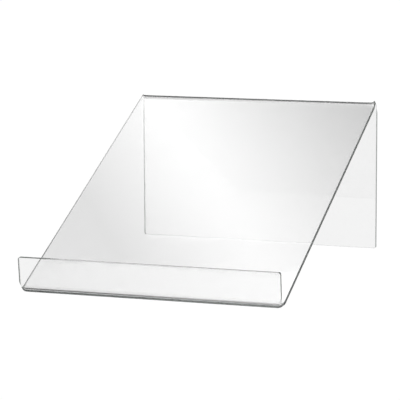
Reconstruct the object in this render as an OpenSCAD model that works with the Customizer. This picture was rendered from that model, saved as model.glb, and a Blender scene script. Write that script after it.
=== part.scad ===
// Plate display stand: one sheet of clear acrylic, line-bent twice.
//
// From front to back the sheet is a short upright lip, a tight bend that
// touches the table, a long sloped rest panel, a tight bend along the ridge
// and an upright rear leg that stands on its cut edge.  The sheet has no
// joints, fasteners or feet.  It is drawn as its five formed zones, which
// meet face to face on flat planes and together make the whole sheet.
//
// Frame: +X is the width, +Y runs from the lip to the rear leg, +Z is up.
// The origin is on the table, in the middle of the stand's outer box.

/* [Sheet] */
// Width of the sheet across both bends
sheet_w = 210; // [140:1:300]
// Thickness of the sheet
sheet_t = 3; // [2:0.5:5]
// Radius of the sheet's four cut corners
corner_r = 1.5; // [0.5:0.5:6]

/* [Rest panel] */
// Outer length of the slope, from the front bend to the ridge
slope_len = 297; // [200:1:420]
// Angle of the rest panel above the table
panel_angle = 25; // [18:0.5:35]

/* [Lip] */
// Outer length of the lip, from the underside of the front bend to its top edge
lip_len = 28.5; // [20:0.5:45]
// Angle between the lip and the rest panel
lip_opening = 71; // [60:0.5:90]

/* [Bends] */
// Inside radius of the front bend, between lip and panel
front_bend_r = 2; // [1:0.5:6]
// Inside radius of the ridge bend, between panel and leg
ridge_bend_r = 2; // [1:0.5:6]

/* [Hidden] */
$fn = 96;

acrylic = [0.86, 0.90, 0.92, 0.45];

// Outside radii of the two bends
front_outer_r = front_bend_r + sheet_t;
ridge_outer_r = ridge_bend_r + sheet_t;

// Directions in the side view, as angles from +Y towards +Z
lip_angle = panel_angle + lip_opening;  // up the lip
lip_front = lip_angle + 90;             // out of the lip's front face
panel_top = panel_angle + 90;           // out of the panel's upper face
panel_under = panel_angle - 90;         // out of the panel's underside
leg_rear = 0;                           // out of the leg's rear face
leg_down = -90;                         // down the upright leg

function dir(a) = [cos(a), sin(a)];

// Flat stretches between the bends
lip_flat = lip_len - front_outer_r;
panel_flat = slope_len - front_outer_r - ridge_outer_r;

// Centres of the bends, first with the front bend's centre at Y = 0
front_z = front_outer_r;
ridge_from_front = panel_flat * dir(panel_angle)
    + (front_bend_r + ridge_outer_r) * dir(panel_under);
ridge_z = front_z + ridge_from_front[1];

// Outer box of the whole sheet along Y, and the shift that centres it
lip_tip = front_outer_r * dir(lip_front) + lip_flat * dir(lip_angle);
box_front = min(lip_tip[0], -front_outer_r);
box_back = ridge_from_front[0] + ridge_outer_r;
shift_y = -(box_front + box_back) / 2;

front_centre = [shift_y, front_z];
ridge_centre = [shift_y, front_z] + ridge_from_front;

// Reach of the wedge that cuts an arc out of a ring
wedge_reach = 4 * max(front_outer_r, ridge_outer_r);

// A flat stretch of the sheet.  It starts at the point `at` of the side view,
// runs `len` along the angle `along` and is sheet_t thick towards the angle
// `along + 90 * side`.  Its far end has the sheet's cut corners if `cut`.
module flat_zone(at, along, len, side, cut) {
    translate([0, at[0], at[1]])
        rotate([along, 0, 0])
            translate([0, 0, side < 0 ? -sheet_t : 0])
                linear_extrude(sheet_t)
                    outline(len, cut ? corner_r : 0);
}

// Outline of a flat stretch, with its two far corners rounded to radius r
module outline(len, r) {
    half = sheet_w / 2;
    translate([-half, 0])
        square([sheet_w, len - r]);
    if (r > 0) {
        translate([-(half - r), 0])
            square([sheet_w - 2 * r, len]);
        for (x = [-(half - r), half - r])
            translate([x, len - r])
                circle(r);
    }
}

// A bend: the part of a ring between the angles a0 and a1, across the width
module bend_zone(centre, inner_r, a0, a1) {
    mid = (a0 + a1) / 2;
    translate([-sheet_w / 2, centre[0], centre[1]])
        rotate([90, 0, 90])
            linear_extrude(sheet_w)
                intersection() {
                    difference() {
                        circle(inner_r + sheet_t);
                        circle(inner_r);
                    }
                    polygon([
                        [0, 0],
                        wedge_reach * dir(a0),
                        wedge_reach * dir(mid),
                        wedge_reach * dir(a1),
                    ]);
                }
}

// Upright front lip that holds the plate's lower edge
module lip() {
    color(acrylic)
        flat_zone(front_centre + front_outer_r * dir(lip_front),
                  lip_angle, lip_flat, -1, true);
}

// Tight bend between lip and panel, whose underside touches the table
module front_bend() {
    color(acrylic)
        bend_zone(front_centre, front_bend_r, lip_front, 360 + panel_under);
}

// Long sloped panel that carries the plate
module rest_panel() {
    color(acrylic)
        flat_zone(front_centre + front_outer_r * dir(panel_under),
                  panel_angle, panel_flat, 1, false);
}

// Tight bend along the top, between panel and leg
module ridge_bend() {
    color(acrylic)
        bend_zone(ridge_centre, ridge_bend_r, leg_rear, panel_top);
}

// Upright rear leg, standing on the sheet's cut edge
module rear_leg() {
    color(acrylic)
        flat_zone(ridge_centre + ridge_outer_r * dir(leg_rear),
                  leg_down, ridge_z, -1, true);
}

lip();
front_bend();
rest_panel();
ridge_bend();
rear_leg();
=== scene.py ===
"""Plate display stand of clear line-bent acrylic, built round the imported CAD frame."""
import math

import bmesh
import bpy
import numpy as np
from mathutils import Matrix, Vector

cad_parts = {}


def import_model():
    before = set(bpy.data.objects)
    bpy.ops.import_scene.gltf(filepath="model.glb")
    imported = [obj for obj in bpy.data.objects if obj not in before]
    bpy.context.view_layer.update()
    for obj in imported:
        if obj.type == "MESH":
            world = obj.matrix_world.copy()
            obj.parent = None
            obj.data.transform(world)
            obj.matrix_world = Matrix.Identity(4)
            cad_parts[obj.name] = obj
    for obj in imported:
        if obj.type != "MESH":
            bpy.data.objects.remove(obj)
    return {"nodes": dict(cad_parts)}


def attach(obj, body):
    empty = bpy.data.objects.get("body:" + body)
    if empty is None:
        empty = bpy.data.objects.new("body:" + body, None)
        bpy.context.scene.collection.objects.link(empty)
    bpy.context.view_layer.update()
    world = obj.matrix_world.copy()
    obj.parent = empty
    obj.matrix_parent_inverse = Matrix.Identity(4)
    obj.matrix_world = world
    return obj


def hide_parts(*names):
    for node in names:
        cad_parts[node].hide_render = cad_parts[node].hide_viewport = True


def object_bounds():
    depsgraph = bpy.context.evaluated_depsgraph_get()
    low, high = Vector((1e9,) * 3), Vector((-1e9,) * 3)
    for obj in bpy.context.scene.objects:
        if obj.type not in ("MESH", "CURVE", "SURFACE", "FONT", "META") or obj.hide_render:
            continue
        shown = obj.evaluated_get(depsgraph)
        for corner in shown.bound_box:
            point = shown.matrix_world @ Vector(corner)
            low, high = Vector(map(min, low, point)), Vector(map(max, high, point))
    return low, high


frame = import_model()
cad_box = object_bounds()

MM = 0.001
ZONES = ("lip", "front_bend", "rest_panel", "ridge_bend", "rear_leg")
FRONT, RIDGE = 1, 3  # the two bends among the five zones

# The outline of the sheet: its cut corners, and the arris left by polishing along its cut edges
CORNER_R = 1.5 * MM
CORNER_STEPS = 8
ARRIS_SIDES = 0.22 * MM
ARRIS_ENDS = 0.06 * MM  # sharper on the lip's top and the leg's foot
ARRIS_STEPS = 3

# The mesh: a regular grid that ends a margin inside the outline, and rings in that margin
MARGIN = 2 * MM
RING_INSETS = (1.2 * MM, 0.8 * MM, 0.4 * MM)
BEND_STEP = 0.22 * MM  # between rows in a bend
NEAR_STEP = 0.6 * MM  # between rows close to a bend
NEAR_BEND = 5 * MM
ROW_STEP = 3 * MM
SAME_ROW = 0.01 * MM
COLUMN_INSETS = (2.0, 2.6, 3.4, 4.5, 6.5, 9, 12, 16)  # mm in from the long edges
COLUMN_STEP = 5 * MM
FLAT_NORMAL = 0.99  # a face whose normal's Z is above this is polished, not cut

# What line bending does to the two ends of a bend: the heated strip shrinks and lifts there, here
# by guessed amounts
DRAW_INSIDE = 0.4 * MM  # shrinks least on the squeezed inside
DRAW_OUTSIDE = 1.9 * MM  # and most on the stretched outside
DRAW_REACH = 4.0 * MM  # how far in from the cut edge that is felt
BEND_REACH = 5.0 * MM  # and how far past the bend
LIFTS = {FRONT: 0.9 * MM, RIDGE: 1.8 * MM}
LIFT_REACH = 1.4 * MM
MILD_END = 0.3  # a guess: the ridge's left end moves by this share only
THINNING = 0.06  # share of its thickness that the wall loses at a bend

# Slow waves that a hot wire leaves on both sides of a bend
WAVE_HEIGHT = 0.010 * MM
WAVE_REACH = 14 * MM
WAVE_FADE = 4 * MM  # they fade out this close to the long edges
WAVES = ((1.0, 11 * MM, 1.3), (0.6, 4.7 * MM, 2.1))  # share, length of a radian, shift per zone

# How the acrylic looks: clear inside, polished faces, satin cut edges. Its grey and its darker cut
# edges are painted shade: two guessed tints that set how grey they look, since clear acrylic has none.
ACRYLIC_IOR = 1.49
FACE_PAINTED_SHADE = (0.85, 0.85, 0.85)
EDGE_PAINTED_SHADE = (0.10, 0.13, 0.11)
VOLUME_COLOR = (0.0, 0.06, 0.04)
DENSITY = 3.0  # absorption per metre, felt by light that is trapped along the sheet
EDGE_ROUGHNESS = 0.57
EVEN_SHARE, SAW_SHARE, WORN_SHARE = 0.85, 0.3, 0.5  # of the edges' roughness
FACE_HAZE = 0.05
HAIR_HAZE = 0.10
SWELL_HEIGHT = 0.012 * MM
HAIR_DEPTH = 0.0012 * MM
SAW_HEIGHT = 0.006 * MM

# How satin the cut edges are and how much painted dark shade they take, 0 to 1: the long ones by
# the distance from the lip's top, and the lip's top by X. Set from how dark each edge looks, since
# the real finish isn't known.
LEFT_SATIN_AND_SHADE = ((0.0, 1.0), (0.07, 0.9), (0.12, 0.5), (0.17, 0.25), (0.24, 0.10), (0.325, 0.05),
               (0.335, 1.0))
RIGHT_SATIN_AND_SHADE = ((0.0, 0.0), (0.026, 0.02), (0.034, 0.85), (0.45, 0.80))
TOP_SATIN_AND_SHADE = ((-0.105, 1.0), (-0.085, 0.8), (-0.07, 0.05), (0.105, 0.02))
FOOT_SATIN_AND_SHADE = 0.05

# Marks on the sheet, as noise: scale per metre, turn in degrees, the range of the noise that is
# stretched to 0 to 1, and its detail
HAZE_MARKS = ((18, 60, 1), 24, 0.42, 0.72, 3.0)
HAIR_MARKS = ((30, 1500, 1), 18, 0.66, 0.74, 2.0)
CROSSING_MARKS = ((45, 1900, 1), -52, 0.68, 0.76, 2.0)
SWELL_MARKS = ((26, 22, 1), 0, 0.2, 0.8, 1.0)
SAW_MARKS = ((1400, 1400, 40), 0, 0.3, 0.7, 2.0)
WORN_MARKS = ((120, 120, 300), 0, 0.5, 0.8, 3.0)

# The camera: where it stands and what it looks at, in the row frame. Found by a least-squares fit
# to the stand's outlines.
CAMERA_AZIMUTH = 19.4275
CAMERA_ELEVATION = 8.8575
CAMERA_ROLL = -0.2723
CAMERA_DISTANCE = 1.7598
CAMERA_LENS = 196.597
CAMERA_SENSOR = 36
CAMERA_AIM = (-0.0054, -0.0005, 0.0566)
CAMERA_CLIP = (0.1, 60)

# The floor, which only the camera sees. Its paleness is its own even glow.
FLOOR_HALF = 20
FLOOR_COLOR = (0.08, 0.08, 0.08)
FLOOR_ROUGHNESS = 0.9

# The studio all round, by the sine of the elevation: pale up to some way above the horizon and
# brighter in front, dim on the way down, pale straight below, and a dark room overhead. The dim
# part darkens the ridge and the front bend in this camera's view. Known fault: because of it the
# whole sheet looks dark grey, like smoked acrylic, from about 40 to 70 degrees above.
PALE = 1.0
PALE_FRONT = 1.22
FRONT_ANGLE = math.radians(-109)
FRONT_EDGE = (0.70, 0.88)
HORIZON_EDGE = (0.37, 0.42)
STEEP = 0.06
STEEP_EDGE = (-0.71, -0.63)
NADIR_EDGE = (-0.96, -0.90)
ROOM = 0.04

# The softbox that the rest panel mirrors into the camera, in metres on its own plane. Its profile
# and glow were fitted to the greys of the panel, for this camera only.
SOFTBOX_DISTANCE = 1.1
SOFTBOX_CENTRE = 0.0085
SOFTBOX_TILT = 0.1295  # how far the brightest line leans off the V axis
SOFTBOX_SPREAD = 0.142
SOFTBOX_FALL = 1.48  # power of the fall-off: 1 is a sharp crest, 2 a round one
SOFTBOX_LOW = 0.22  # where the widest board ends, on the V axis
BOARD_GAP = 0.002
FOOT_DEPTH = 0.02  # how far below the table the third board covers
LEG_SHIFT = 0.0012  # the panel's thickness lifts what is seen through it
# Strength of each board on its brightest line, and what is added all over
BAND_GLOW = (4.21, -2.48)
WINDOW_GLOW = (4.21, -1.58)
FOOT_GLOW = (2.25, 0.86)

BOUNCES = 128  # light is trapped in the sheet for long


# ---------------------------------------------------------------- side view

def side_zone(node):
    """A flat zone's side view, read from its CAD mesh: start, direction, normal, length, thickness.

    Everything is in the (Y, Z) plane. The normal points along the zone's thickness.
    """
    mesh = frame["nodes"][node].data
    face = max(mesh.polygons, key=lambda p: p.area)
    normal = np.array([face.normal.y, face.normal.z])
    normal /= np.linalg.norm(normal)
    along = np.array([-normal[1], normal[0]])
    points = np.array([(v.co.y, v.co.z) for v in mesh.vertices])
    run, depth = points @ along, points @ normal
    start = along * run.min() + normal * depth.min()
    return start, along, normal, np.ptp(run), np.ptp(depth)


def crossing(p, u, q, v):
    """Where the lines p + a*u and q + b*v cross, in the side view."""
    a, _ = np.linalg.solve(np.column_stack([u, -v]), q - p)
    return p + a * u


class SideView:
    """The sheet's middle line, from the top of the lip to the foot of the leg."""

    def __init__(self):
        lip, panel, leg = (side_zone(n) for n in ("lip", "rest_panel", "rear_leg"))
        self.thickness = panel[4]
        half = self.thickness / 2
        # each straight stretch as its two ends on the middle line, in running order
        self.lip = self.ordered(lip, half, top_first=True)
        self.panel = self.ordered(panel, half, top_first=False)
        self.leg = self.ordered(leg, half, top_first=True)
        self.front = self.bend(self.lip, self.panel)
        self.ridge = self.bend(self.panel, self.leg)
        self.runs = [
            ("line", self.lip),
            ("arc", self.front),
            ("line", self.panel),
            ("arc", self.ridge),
            ("line", self.leg),
        ]
        self.starts = [0.0]
        for kind, run in self.runs:
            self.starts.append(self.starts[-1] + self.length_of(kind, run))
        self.length = self.starts[-1]

    @staticmethod
    def ordered(zone, half, top_first):
        start, along, normal, length, _ = zone
        ends = [start + normal * half, start + normal * half + along * length]
        ends.sort(key=lambda p: p[1], reverse=top_first)
        return ends

    @staticmethod
    def bend(before, after):
        """Centre, radius, first and last angle of the arc that joins two straight stretches."""
        u = (before[1] - before[0]) / np.linalg.norm(before[1] - before[0])
        v = (after[1] - after[0]) / np.linalg.norm(after[1] - after[0])
        centre = crossing(before[1], np.array([-u[1], u[0]]), after[0], np.array([-v[1], v[0]]))
        r0, r1 = before[1] - centre, after[0] - centre
        a0, a1 = math.atan2(r0[1], r0[0]), math.atan2(r1[1], r1[0])
        turn = (a1 - a0 + math.pi) % math.tau - math.pi
        return centre, np.linalg.norm(r0), a0, turn

    @staticmethod
    def length_of(kind, run):
        if kind == "line":
            return float(np.linalg.norm(run[1] - run[0]))
        _, radius, _, turn = run
        return radius * abs(turn)

    def at(self, s):
        """Point and upper-side normal of the middle line at the distance s from the lip's top."""
        s = min(max(s, 0.0), self.length)
        i = max(k for k in range(len(self.runs)) if self.starts[k] <= s + 1e-12)
        kind, run = self.runs[i]
        d = s - self.starts[i]
        if kind == "line":
            along = (run[1] - run[0]) / np.linalg.norm(run[1] - run[0])
            return run[0] + along * d, np.array([-along[1], along[0]])
        centre, radius, a0, turn = run
        a = a0 + math.copysign(d / radius, turn)
        out = np.array([math.cos(a), math.sin(a)])
        return centre + radius * out, out * (-1 if turn > 0 else 1)


side = SideView()
WIDTH = cad_box[1].x - cad_box[0].x


# ---------------------------------------------------------------- the sheet

def smooth_step(x):
    x = min(max(x, 0.0), 1.0)
    return x * x * (3 - 2 * x)


def stations():
    """Distances along the sheet where the mesh has a row: fine in the bends, wide between."""
    rows = set()

    def spread(a, b, step):
        n = max(1, round((b - a) / step))
        rows.update(a + (b - a) * k / n for k in range(n + 1))

    last = len(side.runs) - 1
    for i, (kind, _) in enumerate(side.runs):
        a, b = side.starts[i], side.starts[i + 1]
        if kind == "arc":
            spread(a, b, BEND_STEP)
            continue
        lo = a + (MARGIN if i == 0 else NEAR_BEND)
        hi = b - (MARGIN if i == last else NEAR_BEND)
        spread(lo, hi, ROW_STEP)
        if i > 0:
            spread(a, lo, NEAR_STEP)
        if i < last:
            spread(hi, b, NEAR_STEP)
    return merged(sorted(rows), SAME_ROW)


def columns():
    """X of the mesh's columns: fine by the cut edges, even in the middle."""
    half = WIDTH / 2
    x = [half - d * MM for d in COLUMN_INSETS]
    n = round(x[-1] / COLUMN_STEP)
    x += [x[-1] * (1 - k / n) for k in range(1, n)]
    return [-v for v in x] + [0.0] + x[::-1]


def merged(values, gap):
    """Rising values without those that are closer than the gap to the one before."""
    kept = [values[0]]
    for v in values[1:]:
        if v - kept[-1] > gap:
            kept.append(v)
    kept[-1] = values[-1]
    return kept


def rim(rows, cols):
    """Once round the sheet: grid vertex, centre, outward direction and reach of each rim point.

    The rim point itself is at centre + direction * reach, so insets are taken off the reach.
    """
    last_i, last_j = len(cols) - 1, len(rows) - 1
    sides = (
        ([(i, 0) for i in range(last_i + 1)], -90),
        ([(last_i, j) for j in range(last_j + 1)], 0),
        ([(i, last_j) for i in range(last_i, -1, -1)], 90),
        ([(0, j) for j in range(last_j, -1, -1)], 180),
    )
    points = []
    for keys, angle in sides:
        out = Vector((math.cos(math.radians(angle)), math.sin(math.radians(angle))))
        points += [(key, Vector((cols[key[0]], rows[key[1]])), out, MARGIN) for key in keys]
        i, j = keys[-1]
        centre = Vector((math.copysign(WIDTH / 2 - CORNER_R, cols[i]),
                         CORNER_R if j == 0 else side.length - CORNER_R))
        for k in range(CORNER_STEPS + 1):
            turn = math.radians(angle + 90 * k / CORNER_STEPS)
            points.append(((i, j), centre, Vector((math.cos(turn), math.sin(turn))), CORNER_R))
    return points


def between(out, ends, sides):
    """A value for a rim point: one on the lip's top and the leg's foot, another on the long edges."""
    return ends + (sides - ends) * abs(out.x) / (abs(out.x) + abs(out.y))


def flat_sheet():
    """The sheet before bending: X across, Y along from the lip's top, Z up from the middle."""
    rows, cols = stations(), columns()
    half = side.thickness / 2
    bm = bmesh.new()
    grid = {(face, i, j): bm.verts.new((x, s, face * half))
            for face in (1, -1) for i, x in enumerate(cols) for j, s in enumerate(rows)}
    for i in range(len(cols) - 1):
        for j in range(len(rows) - 1):
            for face in (1, -1):
                square = ((i, j), (i + 1, j), (i + 1, j + 1), (i, j + 1))
                bm.faces.new([grid[face, *key] for key in square[::face]])

    # each rim point carries a strand of vertices from the upper face round the edge to the lower one
    arcs = [math.radians(90 * k / ARRIS_STEPS) for k in range(ARRIS_STEPS + 1)]
    strands = []
    for key, centre, out, reach in rim(rows, cols):
        arris = between(out, ARRIS_ENDS, ARRIS_SIDES)
        upper = [(inset, half) for inset in RING_INSETS]
        upper += [(arris * (1 - math.sin(a)), half - arris * (1 - math.cos(a))) for a in arcs]
        profile = upper + [(inset, -z) for inset, z in reversed(upper)]
        strand = [bm.verts.new((*(centre + out * (reach - inset)), z)) for inset, z in profile]
        strands.append([grid[1, *key], *strand, grid[-1, *key]])
    for strand, following in zip(strands, strands[1:] + strands[:1]):
        for k in range(len(strand) - 1):
            corners = (strand[k], strand[k + 1], following[k + 1], following[k])
            bm.faces.new(list(dict.fromkeys(corners)))
    return bm


def bend_weight(s, i):
    """1 in the middle of bend i, falling to 0 a little past it."""
    a, b = side.starts[i], side.starts[i + 1]
    reach = (b - a) / 2 + BEND_REACH
    return smooth_step(1 - abs(s - (a + b) / 2) / reach)


def bent(x, s, n):
    """Where a point of the flat sheet goes when the sheet is bent."""
    half = side.thickness / 2
    from_edge = WIDTH / 2 - abs(x)
    lift = 0.0
    for i, inside in ((FRONT, 1), (RIDGE, -1)):  # the inside of the front bend is its upper face
        weight = bend_weight(s, i)
        if weight > 0:
            m = inside * n / half
            n *= 1 - THINNING * weight
            weight *= MILD_END if i == RIDGE and x < 0 else 1.0
            edge = math.exp(-from_edge / DRAW_REACH) * weight
            draw = DRAW_INSIDE * (1 + m) / 2 + DRAW_OUTSIDE * (1 - m) / 2
            x -= math.copysign(edge * draw, x)
            lift += LIFTS[i] * weight * math.exp(-from_edge / LIFT_REACH)
        a, b = side.starts[i], side.starts[i + 1]
        away = max(a - s, s - b, 0.0)
        wave = sum(share * math.sin(x / length + shift * i) for share, length, shift in WAVES)
        wave *= math.exp(-(away / WAVE_REACH) ** 2) * min(1, from_edge / WAVE_FADE)
        lift += WAVE_HEIGHT * wave
    point, normal = side.at(s)
    point = point + normal * (n + lift)
    return Vector((x, point[0], max(point[1], 0.0)))


def satin_and_shade_of(normal, place):
    """How satin a face of the flat sheet is and how much painted dark shade it takes: 0 on the polished
    faces, up to 1 on the cut edges.
    """
    if abs(normal.z) > FLAT_NORMAL:
        return 0.0
    satin_shade_table = LEFT_SATIN_AND_SHADE if place.x < 0 else RIGHT_SATIN_AND_SHADE
    long_edge = np.interp(place.y, *zip(*satin_shade_table))
    short_edge = FOOT_SATIN_AND_SHADE
    if place.y < side.length / 2:
        short_edge = np.interp(place.x, *zip(*TOP_SATIN_AND_SHADE))
    return between(normal, short_edge, long_edge)


def build_sheet():
    """The whole bent sheet as one object, with its satin edges' share, which also sets their painted
    shade, and its flat place kept as attributes.
    """
    bm = flat_sheet()
    bm.normal_update()
    bm.faces.ensure_lookup_table()
    cut = [satin_and_shade_of(face.normal, face.calc_center_median()) for face in bm.faces]
    flat = [tuple(v.co) for v in bm.verts]
    for v in bm.verts:
        v.co = bent(*v.co)
    bmesh.ops.recalc_face_normals(bm, faces=bm.faces)
    mesh = bpy.data.meshes.new("acrylic_sheet")
    bm.to_mesh(mesh)
    bm.free()
    mesh.polygons.foreach_set("use_smooth", [True] * len(mesh.polygons))
    mesh.attributes.new("cut_edge", "FLOAT", "FACE").data.foreach_set("value", cut)
    place = mesh.attributes.new("sheet", "FLOAT_VECTOR", "POINT")
    place.data.foreach_set("vector", [c for point in flat for c in point])
    keep_faces_flat(mesh)
    sheet = bpy.data.objects.new("acrylic_sheet", mesh)
    bpy.context.scene.collection.objects.link(sheet)
    return sheet


def keep_faces_flat(mesh):
    """Vertex normals led by the larger faces, so that the arris doesn't shade the flats beside it."""
    normals = np.zeros((len(mesh.vertices), 3))
    for face in mesh.polygons:
        normals[list(face.vertices)] += np.array(face.normal) * face.area ** 2
    normals /= np.linalg.norm(normals, axis=1)[:, None]
    mesh.normals_split_custom_set_from_vertices(normals.tolist())


# ---------------------------------------------------------------- materials

def link(tree, output, *targets):
    """Join an output to each (node, input name) that follows."""
    for target, name in targets:
        tree.links.new(output, target.inputs[name])


def marks(tree, place, scale, turn, low, high, detail):
    """0 to 1 noise over the flat sheet, stretched by its scale per metre and turned about Z."""
    mapping = tree.nodes.new("ShaderNodeMapping")
    mapping.vector_type = "TEXTURE"
    mapping.inputs["Rotation"].default_value = (0, 0, math.radians(turn))
    mapping.inputs["Scale"].default_value = [1 / k for k in scale]
    noise = tree.nodes.new("ShaderNodeTexNoise")
    noise.inputs["Scale"].default_value = 1.0
    noise.inputs["Detail"].default_value = detail
    link(tree, place, (mapping, "Vector"))
    link(tree, mapping.outputs[0], (noise, "Vector"))
    return ramp(tree, noise.outputs["Fac"], low, high, 0, 1)


def join(tree, operation, a, b):
    """What a Math node makes of two sockets."""
    made = tree.nodes.new("ShaderNodeMath")
    made.operation = operation
    tree.links.new(a, made.inputs[0])
    tree.links.new(b, made.inputs[1])
    return made.outputs[0]


def mixed(tree, factor, a, b):
    """A value that is a where the factor is 0 and b where it is 1."""
    mix = tree.nodes.new("ShaderNodeMix")
    link(tree, factor, (mix, "Factor"))
    for socket, name in ((a, "A"), (b, "B")):
        link(tree, socket, (mix, name))
    return mix.outputs["Result"]


def acrylic():
    """Clear cast acrylic: polished faces with wipe marks and hairlines, sawn and flamed edges, and
    painted shade: an even grey on the faces and a dark tint on the cut edges.
    """
    material = bpy.data.materials.new("clear_acrylic")
    material.use_nodes = True
    tree = material.node_tree
    shader = tree.nodes["Principled BSDF"]
    output = tree.nodes["Material Output"]
    shader.inputs["Transmission Weight"].default_value = 1.0
    shader.inputs["IOR"].default_value = ACRYLIC_IOR
    edge, sheet_place = (tree.nodes.new("ShaderNodeAttribute") for _ in range(2))
    edge.attribute_name = "cut_edge"
    sheet_place.attribute_name = "sheet"
    cut, place = edge.outputs["Fac"], sheet_place.outputs["Vector"]

    # faces: haze left by a cloth, two sets of hairlines, the slow swell of cast sheet
    haze = marks(tree, place, *HAZE_MARKS)
    hairs = join(tree, "ADD", marks(tree, place, *HAIR_MARKS), marks(tree, place, *CROSSING_MARKS))
    swell = marks(tree, place, *SWELL_MARKS)
    # edges: saw marks square to the faces, and patches where the polish is worn off
    saw = marks(tree, place, *SAW_MARKS)
    worn = marks(tree, place, *WORN_MARKS)

    face_rough = join(tree, "ADD", chain(tree, haze, ("MULTIPLY", FACE_HAZE)),
                      chain(tree, hairs, ("MULTIPLY", HAIR_HAZE)))
    edge_rough = join(tree, "ADD", chain(tree, saw, ("MULTIPLY", SAW_SHARE), ("ADD", EVEN_SHARE)),
                      chain(tree, worn, ("MULTIPLY", WORN_SHARE)))
    edge_rough = join(tree, "MULTIPLY", chain(tree, edge_rough, ("MULTIPLY", EDGE_ROUGHNESS)), cut)
    link(tree, join(tree, "ADD", face_rough, edge_rough), (shader, "Roughness"))

    face_height = join(tree, "SUBTRACT", chain(tree, swell, ("MULTIPLY", SWELL_HEIGHT)),
                       chain(tree, hairs, ("MULTIPLY", HAIR_DEPTH)))
    edge_height = chain(tree, saw, ("MULTIPLY", SAW_HEIGHT))
    bump = tree.nodes.new("ShaderNodeBump")
    bump.inputs["Distance"].default_value = 1.0
    link(tree, mixed(tree, cut, face_height, edge_height), (bump, "Height"))
    link(tree, bump.outputs["Normal"], (shader, "Normal"))

    # Painted shade: an even grey on the faces and a dark tint on the cut edges, mixed by their cut_edge
    # share
    painted_shade = tree.nodes.new("ShaderNodeMix")
    painted_shade.data_type = "RGBA"
    painted_shade.inputs["A"].default_value = (*FACE_PAINTED_SHADE, 1)
    painted_shade.inputs["B"].default_value = (*EDGE_PAINTED_SHADE, 1)
    link(tree, cut, (painted_shade, "Factor"))
    link(tree, painted_shade.outputs["Result"], (shader, "Base Color"))
    volume = tree.nodes.new("ShaderNodeVolumeAbsorption")
    volume.inputs["Color"].default_value = (*VOLUME_COLOR, 1)
    volume.inputs["Density"].default_value = DENSITY
    link(tree, volume.outputs[0], (output, "Volume"))
    return material


# ---------------------------------------------------------------- studio

def camera_place():
    """Where the camera stands, and the direction from its aim back to it."""
    az, el = math.radians(CAMERA_AZIMUTH), math.radians(CAMERA_ELEVATION)
    back = Vector((math.sin(az) * math.cos(el), -math.cos(az) * math.cos(el), math.sin(el)))
    return Vector(CAMERA_AIM) + back * CAMERA_DISTANCE, back


def camera():
    """A still camera at the camera place, turned to its aim."""
    place, back = camera_place()
    data = bpy.data.cameras.new("camera")
    data.lens = CAMERA_LENS
    data.sensor_width = CAMERA_SENSOR
    data.clip_start, data.clip_end = CAMERA_CLIP
    cam = bpy.data.objects.new("camera", data)
    turn = (-back).to_track_quat("-Z", "Y").to_matrix().to_4x4()
    roll = Matrix.Rotation(math.radians(CAMERA_ROLL), 4, "Z")
    cam.matrix_world = Matrix.Translation(place) @ turn @ roll
    bpy.context.scene.collection.objects.link(cam)
    bpy.context.scene.camera = cam


def floor():
    """A pale floor that glows evenly and that only the camera sees: the sheet shows the studio."""
    mesh = bpy.data.meshes.new("floor")
    r = FLOOR_HALF
    mesh.from_pydata([(-r, -r, 0), (r, -r, 0), (r, r, 0), (-r, r, 0)], [], [(0, 1, 2, 3)])
    plane = bpy.data.objects.new("floor", mesh)
    bpy.context.scene.collection.objects.link(plane)
    material = bpy.data.materials.new("white_floor")
    material.use_nodes = True
    shader = material.node_tree.nodes["Principled BSDF"]
    shader.inputs["Base Color"].default_value = (*FLOOR_COLOR, 1)
    shader.inputs["Roughness"].default_value = FLOOR_ROUGHNESS
    shader.inputs["Specular IOR Level"].default_value = 0.0
    shader.inputs["Emission Color"].default_value = (1, 1, 1, 1)
    shader.inputs["Emission Strength"].default_value = PALE
    plane.visible_transmission = False
    plane.visible_glossy = False
    mesh.materials.append(material)


def panel_mirror():
    """Middle and normal of the rest panel's upper face."""
    a, b = (np.array([0.0, p[0], p[1]]) for p in side.panel)
    u = (b - a) / np.linalg.norm(b - a)
    n = np.array([0.0, -u[2], u[1]])
    return Vector((a + b) / 2 + n * side.thickness / 2), Vector(n)


class SoftboxFrame:
    """The plane of the big softbox, square to what the rest panel mirrors into the camera.

    Its U axis is level and its V axis runs down the picture. The point that covers a given point
    of the stand, once mirrored in the panel, is found from the mirrored camera.
    """

    def __init__(self):
        self.middle, self.normal = panel_mirror()
        place, _ = camera_place()
        self.eye = self.mirrored(place)
        self.out = (self.middle - self.eye).normalized()
        self.origin = self.middle + self.out * SOFTBOX_DISTANCE
        self.u = Vector((0, 0, 1)).cross(-self.out).normalized()
        self.v = (-self.out).cross(self.u)

    def mirrored(self, p):
        """The point p mirrored in the panel."""
        return p - self.normal * (2 * (p - self.middle).dot(self.normal))

    def over(self, p):
        """(U, V) of the place on the softbox that is mirrored over the point p."""
        ray = self.mirrored(Vector(p)) - self.eye
        t = (self.origin - self.eye).dot(self.out) / ray.dot(self.out)
        q = self.eye + ray * t - self.origin
        return q.dot(self.u), q.dot(self.v)

    def board(self, name, corners, forward, strength, share):
        """A flat glowing board on the softbox plane, a little forward of it."""
        mesh = bpy.data.meshes.new(name)
        mesh.from_pydata([(u, v, 0) for u, v in corners], [], [range(len(corners))])
        board = bpy.data.objects.new(name, mesh)
        bpy.context.scene.collection.objects.link(board)
        turn = Matrix((self.u, self.v, self.u.cross(self.v))).transposed().to_4x4()
        board.matrix_world = Matrix.Translation(self.origin - self.out * forward) @ turn
        mesh.materials.append(glow(name, strength, share))
        board.visible_camera = False
        board.visible_diffuse = False
        board.visible_shadow = False


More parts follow.
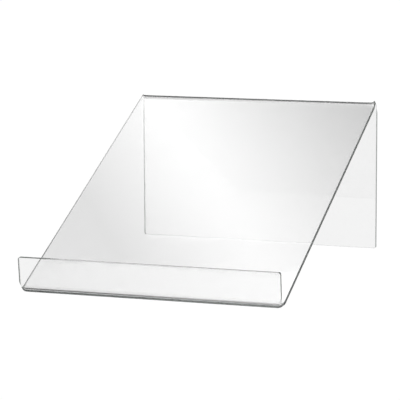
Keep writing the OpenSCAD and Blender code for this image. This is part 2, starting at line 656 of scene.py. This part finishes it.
def glow(name, strength, share):
    """Light that is strongest on one line and falls off to both sides, plus an even share."""
    material = bpy.data.materials.new(name)
    material.use_nodes = True
    tree = material.node_tree
    tree.nodes.clear()
    place = tree.nodes.new("ShaderNodeTexCoord")
    axis = tree.nodes.new("ShaderNodeSeparateXYZ")
    tree.links.new(place.outputs["Object"], axis.inputs[0])
    lean = chain(tree, axis.outputs["Y"], ("MULTIPLY", SOFTBOX_TILT), ("ADD", SOFTBOX_CENTRE))
    away = chain(tree, join(tree, "SUBTRACT", axis.outputs["X"], lean),
                 ("ABSOLUTE", 0), ("MULTIPLY", 1 / SOFTBOX_SPREAD), ("POWER", SOFTBOX_FALL))
    power = chain(tree, away, ("MULTIPLY", -0.5), ("EXPONENT", 0), ("MULTIPLY", strength),
                  ("ADD", share), ("MAXIMUM", 0))
    light = tree.nodes.new("ShaderNodeEmission")
    tree.links.new(power, light.inputs["Strength"])
    output = tree.nodes.new("ShaderNodeOutputMaterial")
    tree.links.new(light.outputs[0], output.inputs["Surface"])
    return material


def chain(tree, socket, *steps):
    """Send a value through Math nodes, one per (operation, second value)."""
    for operation, value in steps:
        math_node = tree.nodes.new("ShaderNodeMath")
        math_node.operation = operation
        tree.links.new(socket, math_node.inputs[0])
        math_node.inputs[1].default_value = value
        socket = math_node.outputs[0]
    return socket


def softbox():
    """A strip softbox above and behind, in three boards.

    The panel mirrors the widest board as a broad soft band, up to the ridge. The second one is a
    window as large as the leg is seen, and the third covers what is seen through the lip.
    """
    plane = SoftboxFrame()
    narrow, wide = (-WIDTH / 2, WIDTH / 2), (-WIDTH, WIDTH)
    lip_y, lip_z = side.lip[0]
    leg_y = side.leg[1][0]
    ridge_y, ridge_z = side.panel[1][0], side.panel[1][1] + side.thickness / 2
    foot = [plane.over((x, leg_y, LEG_SHIFT)) for x in narrow]
    head = [plane.over((x, ridge_y, ridge_z)) for x in narrow]
    brim = [plane.over((x, lip_y, lip_z)) for x in wide]
    edge = [plane.over((x, lip_y, -FOOT_DEPTH)) for x in wide]
    crest = [plane.over((x, ridge_y, ridge_z)) for x in wide]
    below = [(u, SOFTBOX_LOW) for u, _ in crest]
    plane.board("softbox", [crest[0], crest[1], below[1], below[0]], 0, *BAND_GLOW)
    plane.board("softbox_window", [head[0], head[1], foot[1], foot[0]], BOARD_GAP, *WINDOW_GLOW)
    plane.board("softbox_foot", [brim[0], brim[1], edge[1], edge[0]], 2 * BOARD_GAP, *FOOT_GLOW)


def ramp(tree, socket, low, high, to_low, to_high):
    """A smooth step from one value to another."""
    step = tree.nodes.new("ShaderNodeMapRange")
    step.interpolation_type = "SMOOTHSTEP"
    for name, value in (("From Min", low), ("From Max", high), ("To Min", to_low), ("To Max", to_high)):
        step.inputs[name].default_value = value
    tree.links.new(socket, step.inputs["Value"])
    return step.outputs["Result"]


def world():
    """Pale and brighter in front, dim on the way down, pale straight below and dark overhead."""
    studio = bpy.data.worlds.new("studio")
    studio.use_nodes = True
    tree = studio.node_tree
    back = tree.nodes["Background"]
    back.inputs["Color"].default_value = (1, 1, 1, 1)
    look = tree.nodes.new("ShaderNodeTexCoord")
    axis = tree.nodes.new("ShaderNodeSeparateXYZ")
    tree.links.new(look.outputs["Generated"], axis.inputs[0])
    towards = tree.nodes.new("ShaderNodeVectorMath")
    towards.operation = "DOT_PRODUCT"
    towards.inputs[1].default_value = (math.cos(FRONT_ANGLE), math.sin(FRONT_ANGLE), 0)
    tree.links.new(look.outputs["Generated"], towards.inputs[0])
    strength = ramp(tree, towards.outputs["Value"], *FRONT_EDGE, PALE, PALE_FRONT)
    above = ramp(tree, axis.outputs["Z"], *HORIZON_EDGE, 1, 0)
    below = ramp(tree, axis.outputs["Z"], *STEEP_EDGE, STEEP, 1)
    straight_below = ramp(tree, axis.outputs["Z"], *NADIR_EDGE, 1, 0)
    height = join(tree, "MULTIPLY", above, join(tree, "MAXIMUM", below, straight_below))
    strength = join(tree, "MULTIPLY", strength, height)
    tree.links.new(chain(tree, strength, ("ADD", ROOM)), back.inputs["Strength"])
    bpy.context.scene.world = studio


scene = bpy.context.scene
scene.view_settings.view_transform = "Standard"
scene.cycles.max_bounces = BOUNCES
scene.cycles.transmission_bounces = BOUNCES
scene.cycles.glossy_bounces = BOUNCES

camera()
floor()
softbox()
world()

sheet = build_sheet()
sheet.data.materials.append(acrylic())
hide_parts(*ZONES)
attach(sheet, "root")
